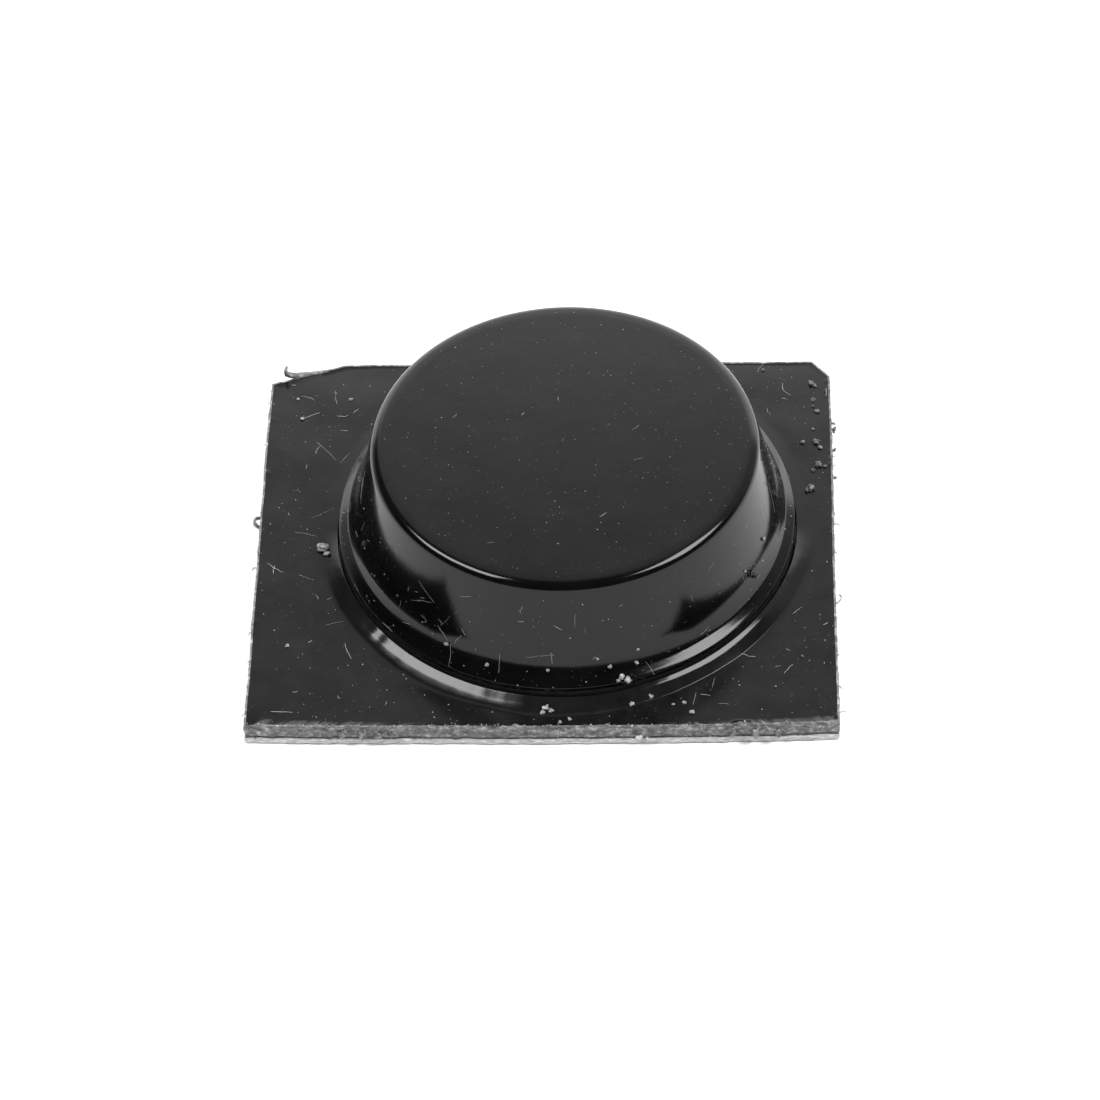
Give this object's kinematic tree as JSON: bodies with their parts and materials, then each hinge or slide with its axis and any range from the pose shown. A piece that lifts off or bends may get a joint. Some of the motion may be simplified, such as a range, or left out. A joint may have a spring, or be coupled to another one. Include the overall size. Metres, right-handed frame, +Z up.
{
  "type": "self-adhesive bumper foot",
  "caption": "Round flat-topped rubber bumper foot with a peel-off adhesive back, kiss-cut in a hand-cut square of moulded sheet on its release liner.",
  "frame": {"origin": "on the foot's axis, at the underside of the release liner", "axes": "+Z up along the foot's axis to its flat top, +X along the front cut to the right, +Y towards the rear cut"},
  "size_m": [0.0158, 0.0135, 0.0041],
  "materials": {
    "black_rubber": "gloss",
    "adhesive_film": "satin",
    "liner_paper": "matte"
  },
  "bodies": {
    "liner": {"release_liner": "liner_paper"},
    "foot": {"bumper_foot": "black_rubber", "foot_adhesive": "adhesive_film"},
    "web": {"waste_web": "black_rubber", "web_adhesive": "adhesive_film"}
  },
  "joints": [
    {"name": "foot_lift", "type": "slide", "parent": "liner", "child": "foot", "axis": [0, 0, 1], "range_m": [0, 0.012]},
    {"name": "web_lift", "type": "slide", "parent": "liner", "child": "web", "axis": [0, 0, 1], "range_m": [0, 0.006]}
  ]
}
